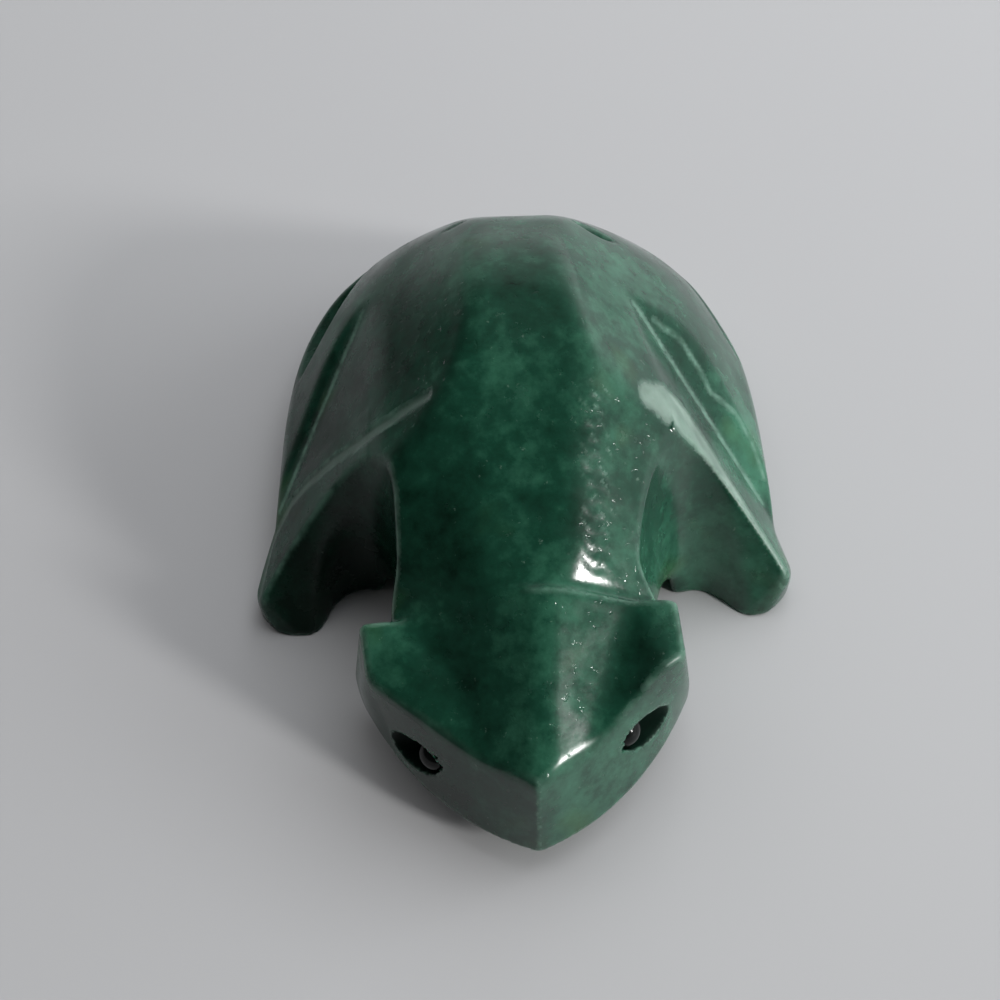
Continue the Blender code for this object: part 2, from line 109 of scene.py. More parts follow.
# The back: a climbing strip and an arch over the rump, with a facet pair and a hip on each side.
# Facets are given by a point on them and the way they face; x and the facing are mirrored for side -1.
back = dict(
    snout=(0, -24.5, 10.0), climb=23.6, peakY=6.0, height=22.4, frontRadius=46.0, rumpRadius=25.0,
    half={1: 5.1, -1: 4.3}, ridgeSoft=0.7, archSoft=2.0,
    shoulder=((-5.6, 19.5), (0.398, -0.561, 0.726)), shoulderX={1: 3.9, -1: 4.3}, shoulderSoft=1.0,
    side={1: ((4.2, -1.0, 20.24), (0.511, -0.389, 0.766)), -1: ((4.3, -2.8, 19.47), (0.294, -0.435, 0.852))},
    sideSoft=0.5,
    flank=((2.0, 21.4), (0.66, 0.0, 0.75)),
    hip={1: ((14.0, 20.8), (0.50, 0.40, 0.77)), -1: ((14.0, 21.3), (0.50, 0.40, 0.77))},
    hipInset=0.6, hipSoft=3.0,
)

# The cut between thigh and arm: its bottom runs from apex to knee, with one more point on each face
thigh = {
    1: dict(apex=(9.0, 10.6, 17.3), knee=(19.5, 0.2, 4.6),
            thigh=(17.6, 6.6, 8.7), strip=(12.2, -0.6, 15.0)),
    -1: dict(apex=(-12.2, 13.6, 13.7), knee=(-19.4, 0.6, 4.6),
             thigh=(-19.0, 8.6, 7.0), strip=(-11.9, 0.7, 14.2)),
}
valleySoft, valleyEdge = 0.3, 0.25

arm = {
    1: dict(foot=22.1, toe=(17.5, -8.3), scoopToe=-7.8, scoopX=17.5, scoopRadius=9.4,
            notchX=13.9, notchDepth=2.2),
    -1: dict(foot=21.6, toe=(17.8, -9.0), scoopToe=-8.4, scoopX=18.0, scoopRadius=8.6,
             notchX=12.7, notchDepth=3.4),
}
armShape = dict(
    footLean=0.05, back=3.0, inside=11.0, joinSoft=0.1, edge=0.35,
    elbowFacing=(0.96, 0.28, 0.05), elbowY=-4.5, elbowSoft=1.2,
    toeFacing=(0.35, -0.93, 0), toeSoft=0.8, cornerFacing=(0.80, -0.60, 0), cornerIn=1.1, cornerSoft=1.0,
    crownY=0.9, crownZ=14.0, neckWaist=-9.0, neckFlare=0.17, neckReach=3.2,
    notchRadius=3.2, notchHeight=8.0, notchSoft=2.0,
)

chest = dict(right=(12.0, 2.6), left=(11.1, 2.4), back=-1.0, soft=2.8, edge=1.2)

# The head is a wedge. Roof, brow, inner and temple are facets, and the crease runs between the brows.
head = dict(
    turn=2.0, pivotY=-12.0, centre=(6.3, -7.9), radius=20.0, low=3.0, high=10.7,
    straightest=(-0.2, 1.4), lean=0.96,
    line=((0.3, -24.8), (0.583, -0.812)), chin=((0, -22.0, 2.8), (0, 0.10, -1.0)),
    roof={1: ((0, -24.8, 10.6), (0.40, -0.40, 0.90)), -1: ((0, -24.8, 10.6), (0.44, -0.40, 0.90))},
    brow={1: ((10.4, -15.2, 12.6), (0.12, 0.02, 0.99)), -1: ((10.4, -13.6, 11.8), (0.12, -0.38, 0.91))},
    inner={1: ((8.5, -15.6, 12.5), (-0.79, 0.10, 0.61)), -1: ((8.2, -16.1, 11.3), (-0.66, 0.05, 0.75))},
    temple={1: ((10.6, -17.2, 12.3), (0.97, 0.02, 0.17)), -1: ((11.5, -15.5, 10.5), (0.97, -0.16, 0.15))},
    crease=(1.1, -13.5, 0.1, -24.6), nape=-13.0, roofSoft=1.0, browSoft=1.1, hollowSoft=2.4,
    topSoft=0.5, soft=0.5, neckSoft=0.9,
)

# Each socket is bored inward along x to its floor; the plug's round front starts at domeX
eyes = dict(radius=1.45, floor=4.6, gap=0.14, domeX=6.5, place={1: (-19.9, 7.4), -1: (-20.6, 5.7)},
            edge=0.15, bevel=0.1, domeSteps=16, around=72)

# Shallow cuts left by the rim of a wheel: deepest point, way out, way it ran, its radius and the depth
wheelCuts = [
    dict(point=(17.6, 17.6, 6.5), out=(0.75, 0.50, 0.30), run=(11.3, -16, -4.5), radius=17, depth=1.3),
    dict(point=(-15.9, 18.0, 7.8), out=(-0.75, 0.45, 0.45), run=(-9.5, -14, -3.5), radius=17, depth=2.1),
    dict(point=(6.7, 18.9, 17.0), out=(0.53, 0.35, 0.78), run=(3.8, -0.4, -2.3), radius=4, depth=0.8),
    dict(point=(-4.9, 18.6, 18.4), out=(-0.50, 0.35, 0.79), run=(-2.5, -0.2, -1.5), radius=3, depth=0.5),
]
wheelRim, wheelEdge = math.radians(50), 0.25


def haunchBlock(p):
    x, y, z = p
    across, behind = np.abs(x-block["shiftX"]), np.maximum(y-block["widestY"], 0)
    angle = np.arctan2(behind, across)
    power = block["squareness"]
    edge = ((np.cos(angle)/block["halfWidth"])**power+(np.sin(angle)/block["reach"])**power)**(-1/power)
    inside = np.sqrt(across**2+behind**2)-edge
    wall = inside+block["wallLean"]*z
    knuckleIn = block["wallLean"]*block["wallHeight"]
    slope = block["bandLean"]
    band = (inside+knuckleIn+slope*(z-block["wallHeight"]))/math.hypot(1, slope)
    return meet(band, wall, block["wallSoft"])


def backOver(p):
    # the strip, the arch over the rump and the facets beside them
    x, y, z = p
    climb = math.radians(back["climb"])
    strip = flat(p, back["snout"], (0, -math.sin(climb), math.cos(climb)))
    radius = np.where(y < back["peakY"], back["frontRadius"], back["rumpRadius"])
    arch = np.sqrt((y-back["peakY"])**2+(z-back["height"]+radius)**2)-radius
    top = meet(strip, arch, back["archSoft"])
    for side in (1, -1):
        half = back["half"][side]*side
        (y1, z1), facing1 = back["shoulder"]
        (y2, z2), facing2 = back["flank"]
        (y3, z3), facing3 = back["hip"][side]
        shoulder = flat(p, (back["shoulderX"][side]*side, y1, z1), mirrored(facing1, side))
        flank = flat(p, (half, y2, z2), mirrored(facing2, side))
        hip = flat(p, (half-back["hipInset"]*side, y3, z3), mirrored(facing3, side))
        point, facing = back["side"][side]
        slope = flat(p, mirrored(point, side), mirrored(facing, side))
        beside = meet(meet(shoulder, flank, back["shoulderSoft"]), hip, back["hipSoft"])
        beside = meet(beside, slope, back["sideSoft"])
        top = meet(top, beside, back["ridgeSoft"])
    return top


def armBlock(p, side, strip):
    x, y, z = p
    own, form = arm[side], armShape
    out = x*side
    shape = meet(strip, out-own["foot"]+form["footLean"]*z, form["edge"])
    elbow = flat(p, (own["foot"]*side, form["elbowY"], 0), mirrored(form["elbowFacing"], side))
    shape = meet(shape, elbow, form["elbowSoft"])
    shape = meet(shape, y-form["back"], form["edge"])
    return meet(shape, form["inside"]-out, form["edge"])


def toeFlats(p, side):
    own, form = arm[side], armShape
    toeX, toeY = own["toe"]
    toe = flat(p, (toeX*side, toeY, 0), mirrored(form["toeFacing"], side))
    cornerY = toeY+(own["foot"]-toeX)*form["toeFacing"][0]/-form["toeFacing"][1]
    n = unit(form["cornerFacing"])
    corner = flat(p, ((own["foot"]-n[0]*form["cornerIn"])*side, cornerY-n[1]*form["cornerIn"], 0),
                  mirrored(form["cornerFacing"], side))
    return meet(toe, corner, form["cornerSoft"])


def scoop(p, side):
    # a wide round trough down the front of each arm, and a smaller notch at its foot beside the chest
    own, form = arm[side], armShape
    lean = unit((0, form["crownY"]-own["scoopToe"], form["crownZ"]))
    forward = -(p[1]-own["scoopToe"])*lean[2]+p[2]*lean[1]
    out, radius = p[0]*side, own["scoopRadius"]
    across = out-own["scoopX"]
    trough = np.sqrt(np.maximum(radius-forward, 0)**2+across**2)-radius
    flare = form["neckFlare"]*np.clip(form["neckWaist"]-p[1], 0, form["neckReach"])**2
    trough = trough+flare*np.clip(-across/radius, 0, 1)
    small = form["notchRadius"]
    ahead = small-own["notchDepth"]*(1-p[2]/form["notchHeight"])-forward
    notch = np.sqrt(np.maximum(ahead, 0)**2+(out-own["notchX"])**2)-small
    return join(trough, notch, form["notchSoft"])


def chestHollow(p):
    x, y, z = p
    (rightX, rightZ), (leftX, leftZ) = chest["right"], chest["left"]
    middle, half = (rightX-leftX)/2, (rightX+leftX)/2
    top = leftZ+(rightZ-leftZ)*(x+leftX)/(rightX+leftX)
    return meet(meet(np.abs(x-middle)-half, z-top, chest["soft"]), y-chest["back"], chest["edge"])


def turnHead(p):
    turn, pivot = math.radians(head["turn"]), head["pivotY"]
    c, s = math.cos(turn), math.sin(turn)
    x, y = p[0], p[1]-pivot
    return [c*x+s*y, pivot-s*x+c*y, p[2]]


def headWedge(h):
    # each cheek goes from a full curve at the jaw to a straight line at the brow
    x, y, z = h
    across = np.abs(x)
    m = [across, y, z]
    centreX, centreY = head["centre"]
    curve = np.sqrt((across+centreX)**2+(y-centreY)**2)-head["radius"]
    (lineX, lineY), (outX, outY) = head["line"]
    line = (across-lineX)*outX+(y-lineY)*outY
    rise = (z-head["low"])/(head["high"]-head["low"])
    shape = (curve+(line-curve)*np.clip(rise, *head["straightest"]))*head["lean"]
    shape = meet(shape, flat(m, *head["chin"]), head["soft"])
    shape = meet(shape, y-head["nape"], head["soft"])
    x0, y0, x1, y1 = head["crease"]
    fromCrease = x-x0-(x1-x0)*(y-y0)/(y1-y0)
    roofs = [flat([fromCrease*side, y, z], *head["roof"][side]) for side in (1, -1)]
    top = meet(*roofs, head["roofSoft"])
    for side in (1, -1):
        s = [x*side, y, z]
        bump = meet(flat(s, *head["brow"][side]), flat(s, *head["inner"][side]), head["browSoft"])
        top = join(top, bump, head["hollowSoft"])
        shape = meet(shape, flat(s, *head["temple"][side]), head["soft"])
    return meet(shape, top, head["topSoft"])


# The bevels along the tops of the arms, ground last with a finer wheel: x, y, z and half-width along each
strips = {
    # satin: how much pale satin colour with painted sheen each bevel takes; the left takes less, as painted
    # shade
    1: dict(depth=0.07, satinAndSheen=1.0,
            line=((9.4, 1.6, 17.4, 1.1), (10.8, 1.7, 15.9, 1.8), (12.4, 1.3, 14.2, 1.95),
                  (14.2, 0.0, 12.0, 1.45), (16.4, -2.0, 9.2, 1.0), (18.7, -4.3, 6.1, 0.7),
                  (21.0, -6.6, 3.0, 0.5))),
    -1: dict(depth=0.10, satinAndSheen=0.5,
             line=((-6.6, 0.6, 19.4, 0.35), (-8.8, 0.5, 17.5, 0.42), (-11.6, 0.3, 14.6, 0.45),
                   (-14.4, 1.0, 11.0, 0.42), (-16.8, 1.0, 8.0, 0.38), (-18.3, 0.6, 6.0, 0.38),
                   (-20.1, -1.6, 3.5, 0.42), (-20.8, -5.6, 2.6, 0.45))),
}
bevelFade, bevelClear = 0.16, 0.25  # how softly a bevel ends at its sides, and at a scoop's rim

# Rough chatter left beside the right ridge of the back
chatter = dict(start=(5.4, -0.5, 19.8), end=(5.2, -11.0, 15.2), wide=1.9, fade=1.2, pitch=0.95, depth=0.035)


def alongLine(p, line):
    # how far a point lies inside a band that follows a line of points with their own half-widths
    best = np.full(np.broadcast(*p).shape, -99.0)
    for start, end in zip(line, line[1:]):
        a, b = np.array(start[:3]), np.array(end[:3])
        run = b-a
        share = sum((p[i]-a[i])*run[i] for i in range(3))/run.dot(run)
        share = np.clip(share, 0, 1)
        away = np.sqrt(sum((p[i]-a[i]-share*run[i])**2 for i in range(3)))
        best = np.maximum(best, start[3]+(end[3]-start[3])*share-away)
    return best


def bevelShare(p, side):
    return np.clip(alongLine(p, strips[side]["line"])/bevelFade+0.5, 0, 1)


def chatterWave(p):
    # uneven waves across the band, stronger in some places than in others
    x, y, z = p
    form = chatter
    band = ((*form["start"], form["wide"]), (*form["end"], form["wide"]))
    share = np.clip(alongLine(p, band)/form["fade"], 0, 1)
    bent = y+0.35*x+0.22*np.sin(3.1*x)+0.10*np.sin(7.3*x+2.0*y)
    wave = np.sin(2*math.pi*bent/form["pitch"])
    return form["depth"]*share*wave*(0.6+0.4*np.sin(5.2*x+1.7*y))


def socket(p, side):
    y, z = eyes["place"][side]
    radial, along = offAxis(p, (0, y, z), (side, 0, 0))
    return meet(radial-eyes["radius"], eyes["floor"]-along, eyes["edge"])


def wheelCut(p, cut):
    out = unit(cut["out"])
    run = np.array(cut["run"], dtype=float)
    run = unit(run-out*run.dot(out))
    centre = np.array(cut["point"])+out*(cut["radius"]-cut["depth"])
    radial, along = offAxis(p, centre, np.cross(out, run))
    return (radial-cut["radius"])*math.sin(wheelRim)+np.abs(along)*math.cos(wheelRim)


def frogStone(p):
    # signed distance in mm: negative inside the stone
    x, y, z = p
    stone = meet(haunchBlock(p), backOver(p), block["bandSoft"])
    for side in (1, -1):
        own = thigh[side]
        wallFacing = facingThrough(own["apex"], own["knee"], own["thigh"])
        stripFacing = facingThrough(own["apex"], own["knee"], own["strip"])
        wall, strip = flat(p, own["apex"], wallFacing), flat(p, own["apex"], stripFacing)
        cut = join(wall, strip, valleySoft)
        stone = np.where(x*side > 0, meet(stone, cut, valleyEdge), stone)
        stone = join(stone, armBlock(p, side, strip), armShape["joinSoft"])
        stone = grind(stone, scoop(p, side), armShape["edge"])
        isFoot = (x*side > armShape["inside"]) & (y < 0)
        stone = np.where(isFoot, meet(stone, toeFlats(p, side), armShape["toeSoft"]), stone)
    stone = grind(stone, chestHollow(p), chest["edge"])
    stone = meet(stone, block["front"]-y, block["frontSoft"])
    stone = join(stone, headWedge(turnHead(p)), head["neckSoft"])
    for side in (1, -1):
        stone = grind(stone, socket(p, side), eyes["edge"])
    for cut in wheelCuts:
        stone = grind(stone, wheelCut(p, cut), wheelEdge)
    for side in (1, -1):
        clear = np.clip(scoop(p, side)/bevelClear, 0, 1)
        stone = stone+strips[side]["depth"]*bevelShare(p, side)*clear
    stone = stone+chatterWave(p)
    return meet(stone, -z, block["baseSoft"])


# Turning the distance field into a mesh: fine cells near the surface, found on a coarser grid
netting = dict(cell=0.27, coarse=1.08, low=(-23.5, -28.6, -0.6), high=(23.5, 31.6, 23.4), relax=3)


def fieldOnGrid(cell):
    # distances on a fine grid, worked out only near the surface
    low, high = np.array(netting["low"]), np.array(netting["high"])
    ratio = int(round(netting["coarse"]/cell))
    blocks = np.ceil((high-low)/(cell*ratio)).astype(int)
    axes = [low[i]+cell*np.arange(blocks[i]*ratio+1) for i in range(3)]
    coarseAxes = [a[ratio//2::ratio][:blocks[i]] for i, a in enumerate(axes)]
    cx, cy, cz = coarseAxes
    centres = frogStone([cx[:, None, None], cy[None, :, None], cz[None, None, :]])
    field = np.repeat(np.repeat(np.repeat(np.sign(centres), ratio, 0), ratio, 1), ratio, 2)
    field = np.pad(field, ((0, 1), (0, 1), (0, 1)), mode="edge")*cell*3  # only the sign counts far off
    near = np.abs(centres) < cell*ratio*1.4  # a little past a coarse cell's corner
    near = np.pad(near, 1)
    grown = np.zeros_like(near)
    for dx in (-1, 0, 1):
        for dy in (-1, 0, 1):
            for dz in (-1, 0, 1):
                grown |= np.roll(near, (dx, dy, dz), (0, 1, 2))
    grown = grown[1:-1, 1:-1, 1:-1]
    mask = np.repeat(np.repeat(np.repeat(grown, ratio, 0), ratio, 1), ratio, 2)
    mask = np.pad(mask, ((0, 1), (0, 1), (0, 1)), mode="edge")
    index = np.nonzero(mask)
    field[index] = frogStone([axes[i][index[i]] for i in range(3)])
    return axes, field


def netSurface(axes, field):
    # one point in each grid cell that the surface crosses, joined up by quads
    inside = field < 0
    shape = np.array(field.shape)-1
    total, count = np.zeros((*shape, 3)), np.zeros(tuple(shape))
    corners = [slice(None, -1), slice(1, None)]
    for axis in range(3):
        others = [i for i in range(3) if i != axis]
        for a in (0, 1):
            for b in (0, 1):
                pick = [None, None, None]
                pick[others[0]], pick[others[1]] = corners[a], corners[b]
                lowPick, highPick = list(pick), list(pick)
                lowPick[axis], highPick[axis] = corners[0], corners[1]
                f0, f1 = field[tuple(lowPick)], field[tuple(highPick)]
                crossing = (f0 < 0) != (f1 < 0)
                share = np.where(crossing, f0/np.where(crossing, f0-f1, 1), 0)
                place = np.zeros((*shape, 3))
                place[..., axis] = share
                place[..., others[0]], place[..., others[1]] = a, b
                total += place*crossing[..., None]
                count += crossing
    cells = np.nonzero(count)
    number = np.full(tuple(shape), -1)
    number[cells] = np.arange(len(cells[0]))
    cell = axes[0][1]-axes[0][0]
    offset = total[cells]/count[cells][:, None]
    points = np.stack([axes[i][cells[i]]+offset[:, i]*cell for i in range(3)], -1)
    quads = []
    for axis in range(3):
        u, v = [(1, 2), (2, 0), (0, 1)][axis]
        pickLow, pickHigh = [slice(1, -1)]*3, [slice(1, -1)]*3
        pickLow[axis], pickHigh[axis] = slice(0, -1), slice(1, None)
        here, there = inside[tuple(pickLow)], inside[tuple(pickHigh)]
        index = list(np.nonzero(here != there))
        flip = here[tuple(index)]
        for i in range(3):
            if i != axis:
                index[i] = index[i]+1
        ring = []
        for du, dv in ((-1, -1), (0, -1), (0, 0), (-1, 0)):
            at = list(index)
            at[u], at[v] = at[u]+du, at[v]+dv
            ring.append(number[tuple(at)])
        ring = np.stack(ring, -1)
        quads.append(np.where(flip[:, None], ring, ring[:, ::-1]))
    return points, np.concatenate(quads)


def slopeAt(points, step=0.02):
    slope = np.zeros_like(points)
    for i in range(3):
        ahead, behind = points.copy(), points.copy()
        ahead[:, i] += step
        behind[:, i] -= step
        slope[:, i] = frogStone(list(ahead.T))-frogStone(list(behind.T))
    return slope/(2*step)


def settle(points, limit):
    # moves each point along the slope on to the true surface
    slope = slopeAt(points)
    distance = frogStone(list(points.T))
    steep = np.maximum((slope**2).sum(1), 0.25)
    move = -slope*(distance/steep)[:, None]
    length = np.linalg.norm(move, axis=1, keepdims=True)
    return points+move*np.minimum(1, limit/np.maximum(length, 1e-9))


def evenOut(points, quads, limit):
    # pulls each point towards its neighbours, then back on to the surface
    total, count = np.zeros_like(points), np.zeros(len(points))
    for a, b in ((0, 1), (1, 2), (2, 3), (3, 0)):
        for start, end in ((a, b), (b, a)):
            for i in range(3):
                total[:, i] += np.bincount(quads[:, start], points[quads[:, end], i], len(points))
            count += np.bincount(quads[:, start], minlength=len(points))
    middle = total/count[:, None]
    return settle(points+(middle-points)*0.5, limit)


def makeFrogMesh():
    axes, field = fieldOnGrid(netting["cell"])
    report("distance field")
    points, quads = netSurface(axes, field)
    points = settle(points, netting["cell"]/2)
    for _ in range(netting["relax"]):
        points = evenOut(points, quads, netting["cell"]/2)
    points = settle(points, netting["cell"]/4)
    report("net of %d quads" % len(quads))
    return points, quads


# What the stone's colour, its painted light and shade, and its polish follow, kept as one number a vertex
# under each name
marks = dict(
    reach=0.30, edgeFrom=0.16, edgeTo=0.55,  # worn edges with a painted glint: how far round, and the bends they start and end at
    valleyWide=0.20, lineWide=0.3, lineShare=1.6,  # painted highlight lines along the thigh cuts
    satinFacing=(0.72, 0.03, 0.69), satinFrom=0.62, satinFade=0.30, satinSide=0.5,  # satin bevels with painted sheen
    grooveDeep=0.15, grooveFrom=0.3, grooveInside=7, grooveLeft=1.6,  # faces of the thigh cuts
    flankX=-5.5, flankFade=3.5, flankY=-12, neckFade=2, flankDull=1.1, flankPaintedShade=0.45,  # the left flank: duller polish and painted shade
    holeRim=0.06,
)


def edgeMark(points, slope):
    # how sharply the stone turns outward at each point: 1 on a crisp ridge, 0 on a flat
    reach = marks["reach"]
    other = np.cross(slope, np.array((0.31, 0.42, 0.85)))
    other /= np.linalg.norm(other, axis=1, keepdims=True)
    third = np.cross(slope, other)
    bend = sum(frogStone(list((points+way*reach).T)) for way in (other, -other, third, -third))/reach
    return np.clip((bend-marks["edgeFrom"])/(marks["edgeTo"]-marks["edgeFrom"]), 0, 1)


# The outer lip of the right thigh cut, which gets a painted highlight line: x, y, z and half-width along it
cutLip = ((10.7, 10.2, 15.8, 0.14), (13.0, 9.8, 13.8, 0.15), (14.4, 8.4, 12.1, 0.15), (15.4, 7.0, 10.6, 0.14),
          (17.6, 6.4, 8.5, 0.13), (19.0, 4.7, 6.7, 0.12), (19.9, 2.4, 5.1, 0.12))


def valleyGlintMark(points):
    # a painted highlight line along the bottom of each thigh cut, and along the lip of the right one
    share = np.clip(alongLine(list(points.T), cutLip)/marks["lineWide"]+0.7, 0, 1)
    for side in (1, -1):
        own = thigh[side]
        line = ((*own["apex"], marks["valleyWide"]), (*own["knee"], marks["valleyWide"]))
        share = np.maximum(share, np.clip(alongLine(list(points.T), line)/marks["valleyWide"]+0.6, 0, 1))
    return share*marks["lineShare"]


# Painted light and shade, with some of the stone's own tone: lighter (+) on the right side, which faces the
# window, and on the brow tops and right cheek, darker (-) on the left side and in the head's hollows; place,
# reach in mm, amount
paintedLightAndTone = [
    ((8.0, -2.0, 18.5), 4.0, 0.55), ((8.0, -9.0, 15.0), 3.2, 0.55), ((7.5, 7.0, 19.5), 4.2, 0.35),
    ((16.0, -5.0, 5.0), 6.5, 0.40), ((17.0, 6.0, 8.5), 5.5, 0.50), ((15.0, 15.0, 10.0), 6.0, 0.35),
    ((-0.8, 2.0, 21.5), 3.2, 0.40), ((-0.6, -6.5, 18.2), 3.0, 0.10), ((3.6, -3.0, 19.6), 1.9, -0.45),
    ((3.0, -10.5, 16.4), 2.0, -0.40), ((-6.0, -1.5, 19.8), 3.2, -0.75), ((-5.6, -9.0, 16.2), 3.4, -0.80),
    ((-8.5, 6.5, 18.5), 4.2, -0.60), ((-17.0, 8.0, 8.5), 5.0, -0.55), ((-15.0, -5.0, 6.0), 6.5, -0.60),
    ((-5.5, -16.5, 10.6), 2.8, -0.45), ((7.2, -15.5, 11.8), 2.0, -0.85), ((5.5, -19.0, 10.8), 1.8, -0.45),
    ((3.6, -19.0, 12.0), 2.0, 0.45), ((10.0, -16.5, 12.4), 1.6, 0.25), ((-10.2, -15.0, 11.2), 1.4, 0.45),
    ((5.5, -22.5, 6.5), 4.2, 0.45), ((1.5, 17.0, 19.5), 5.0, 0.15),
]


def satinAndSheenMark(points, slope):
    # the bevels, where they face up and out: their own pale satin grind, with painted sheen
    share = np.zeros(len(points))
    for side in (1, -1):
        facing = unit(mirrored(marks["satinFacing"], side))
        upward = np.clip((slope@facing-marks["satinFrom"])/marks["satinFade"], 0, 1)
        inBand = np.clip(alongLine(list(points.T), strips[side]["line"])/marks["satinSide"]+0.4, 0, 1)
        share = np.maximum(share, inBand*upward*strips[side]["satinAndSheen"])
    return share


def leftFlank(points):
    # the whole left flank and arm, less reflective than the right and painted darker: painted shade, as it
    # faces away from the light
    outward = np.clip((marks["flankX"]-points[:, 0])/marks["flankFade"], 0, 1)
    return outward*np.clip((points[:, 1]-marks["flankY"])/marks["neckFade"], 0, 1)


def grooveMark(points):
    # the outer faces of the thigh cuts, left as the grinder made them
    share = np.zeros(len(points))
    for side in (1, -1):
        own = thigh[side]
        wall = flat(points.T, own["apex"], facingThrough(own["apex"], own["knee"], own["thigh"]))
        strip = flat(points.T, own["apex"], facingThrough(own["apex"], own["knee"], own["strip"]))
        onWall = np.clip(1.4-np.abs(wall)/marks["grooveDeep"], 0, 1)*np.clip(strip/marks["grooveFrom"], 0, 1)
        onWall = onWall*(points[:, 0]*side > marks["grooveInside"])
        share = np.maximum(share, onWall*(1.0 if side > 0 else marks["grooveLeft"]))
    return np.maximum(share, leftFlank(points)*marks["flankDull"])


# painted light and shade from the patches above, with some of the stone's own tone
def paintedLightAndToneMark(points):
    total = np.zeros(len(points))
    for place, reach, amount in paintedLightAndTone:
        away = ((points-np.array(place))**2).sum(1)
        total += amount*np.exp(-away/reach**2)
    # painted shade over the left flank and arm
    return np.clip(total-marks["flankPaintedShade"]*leftFlank(points), -1.2, 1)


def socketMark(points):
    # the walls of the eye sockets, which are coloured near black
    share = np.zeros(len(points))
    for side in (1, -1):
        y, z = eyes["place"][side]
        radial, along = offAxis(list(points.T), (0, y, z), (side, 0, 0))
        inside = (radial < eyes["radius"]+marks["holeRim"]) & (along > 0)
        share = np.maximum(share, inside*1.0)
    return share


def setMark(data, name, values):
    layer = data.attributes.new(name, "FLOAT", "POINT")
    layer.data.foreach_set("value", np.asarray(values, dtype=np.float32))


def meshObject(name, points, faces, smooth=True):
    data = bpy.data.meshes.new(name)
    data.from_pydata([tuple(point) for point in points], [], [tuple(int(i) for i in face) for face in faces])
    data.update()
    if smooth:
        data.shade_smooth()
    thing = bpy.data.objects.new(name, data)
    bpy.context.collection.objects.link(thing)
    return thing


# Materials
def newMaterial(name):
    material = bpy.data.materials.new(name)
    material.use_nodes = True
    return material, material.node_tree.nodes, material.node_tree.links


stoneLook = dict(
    deep=(0.003, 0.017, 0.0095), mid=(0.0085, 0.052, 0.030), light=(0.038, 0.150, 0.092),
    deepAt=0.34, midAt=0.5, lightAt=0.69, grainShare=0.38, paintedLightAndToneShare=0.13,
    yellow=(0.045, 0.110, 0.030), yellowShare=0.45, speck=(0.20, 0.30, 0.24), speckShare=0.45,
    # satin is the bevels' pale colour with painted sheen; worn is the edges' pale colour, partly wear and
    # partly painted glint
    satinAndSheen=(0.24, 0.33, 0.28), satinRough=0.35, wornAndGlint=(0.15, 0.27, 0.21), wornAndGlintShare=0.55, wornRough=0.20,
    hole=(0.003, 0.006, 0.005), holeShare=0.9, holeRough=0.30, grooveRough=0.07,
    smooth=0.11, rough=0.30, shine=0.5, holeShine=0.5, grooveShine=0.28, rippleHeight=1.6,
)
# Each noise: scale, detail, roughness and distortion
stoneNoise = dict(
    cloud=(95, 5, 0.62, 0.15), grain=(620, 6, 0.68), yellow=(130, 2), speck=(1700, 3, 0.6),
    ragged=(900, 4), streak=(500, 5), gloss=(260, 5, 0.6), pits=(1500, 3, 0.6), ripple=(240, 4, 0.6),
)
inlayLook = dict(dark=(0.002, 0.003, 0.003), light=(0.010, 0.012, 0.011), mottle=(900, 4), gloss=(1400, 3),
                 smooth=0.05, rough=0.16, shine=0.16)
tableLook = dict(half=0.6, dark=(0.475, 0.475, 0.487), light=(0.495, 0.495, 0.503), cloud=(6, 4),
                 smooth=0.55, rough=0.65)


def noiseNode(nodes, links, way, scale, detail, roughness=0.5, distortion=0.0):
    noise = nodes.new("ShaderNodeTexNoise")
    noise.inputs["Scale"].default_value = scale
    noise.inputs["Detail"].default_value = detail
    noise.inputs["Roughness"].default_value = roughness
    noise.inputs["Distortion"].default_value = distortion
    links.new(way, noise.inputs["Vector"])
    return noise.outputs["Fac"]


def rangeNode(nodes, links, value, fromMin, fromMax, toMin=0.0, toMax=1.0):
    step = nodes.new("ShaderNodeMapRange")
    for name, number in (("From Min", fromMin), ("From Max", fromMax), ("To Min", toMin), ("To Max", toMax)):
        step.inputs[name].default_value = number
    links.new(value, step.inputs["Value"])
    return step.outputs["Result"]


def mathNode(nodes, links, operation, a, b):
    step = nodes.new("ShaderNodeMath")
    step.operation = operation
    for socket, value in zip(step.inputs, (a, b)):
        if isinstance(value, (int, float)):
            socket.default_value = value
        else:
            links.new(value, socket)
    return step.outputs[0]


def mixNode(nodes, links, share, a, b):
    step = nodes.new("ShaderNodeMix")
    step.data_type = "RGBA"
    links.new(share, step.inputs["Factor"])
    for name, value in (("A", a), ("B", b)):
        socket = [s for s in step.inputs if s.name == name and s.type == "RGBA"][0]
        if isinstance(value, tuple):
            socket.default_value = (*value, 1)
        else:
            links.new(value, socket)
    return [s for s in step.outputs if s.type == "RGBA"][0]


def rampNode(nodes, links, value, stops):
    # stops: position and colour, in order
    ramp = nodes.new("ShaderNodeValToRGB")
    places = ramp.color_ramp.elements
    places[0].position, places[1].position = stops[0][0], stops[-1][0]
    for position, _ in stops[1:-1]:
        places.new(position)
    for place, (_, colour) in zip(places, stops):
        place.color = (*colour, 1)
    links.new(value, ramp.inputs["Fac"])
    return ramp.outputs["Color"]


def markNode(nodes, name):
    mark = nodes.new("ShaderNodeAttribute")
    mark.attribute_name = name
    return mark.outputs["Fac"]


